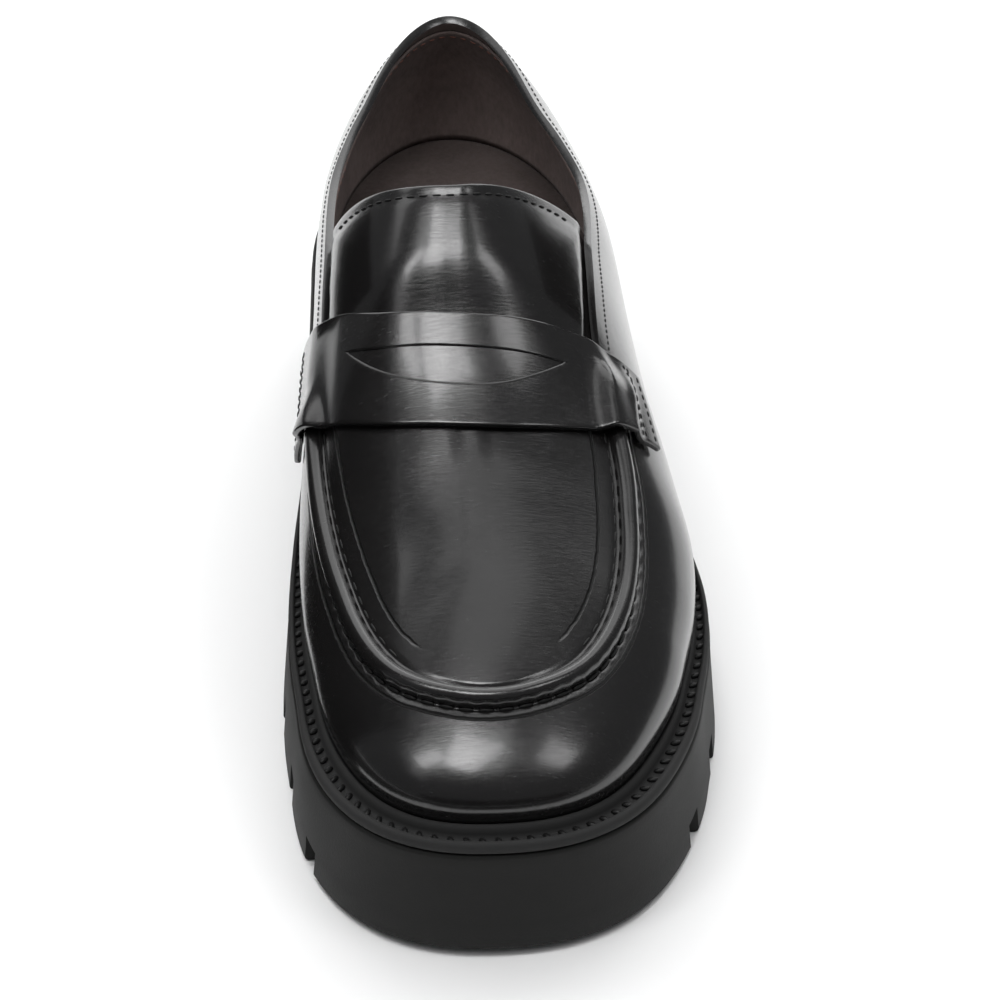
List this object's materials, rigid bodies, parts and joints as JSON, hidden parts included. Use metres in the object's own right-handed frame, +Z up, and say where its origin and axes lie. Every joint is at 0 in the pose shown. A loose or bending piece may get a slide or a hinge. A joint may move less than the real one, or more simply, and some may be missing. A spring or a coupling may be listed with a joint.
{
  "type": "chunky lug sole loafer",
  "caption": "Slip-on leather shoe for the left foot with a raised apron seam, a slotted strap over the instep and a thick lugged rubber sole with a low heel.",
  "frame": {"origin": "centre of the shoe's bounding box, on the floor that the sole stands on", "axes": "+Z up, +Y from the toe to the heel along the sole, +X towards the outer side of this left shoe"},
  "size_m": [0.1124, 0.3, 0.1179],
  "materials": {
    "rubber": "matt moulded rubber with a fine speckle",
    "welt_rubber": "matt to satin rubber",
    "lining": "napped suede, brown grey",
    "leather": "brushed black leather with a high shine"
  },
  "bodies": {
    "root": {"outsole": "rubber", "welt": "welt_rubber", "insole": "lining", "upper": "leather", "tongue": "leather", "strap": "leather"}
  },
  "joints": []
}
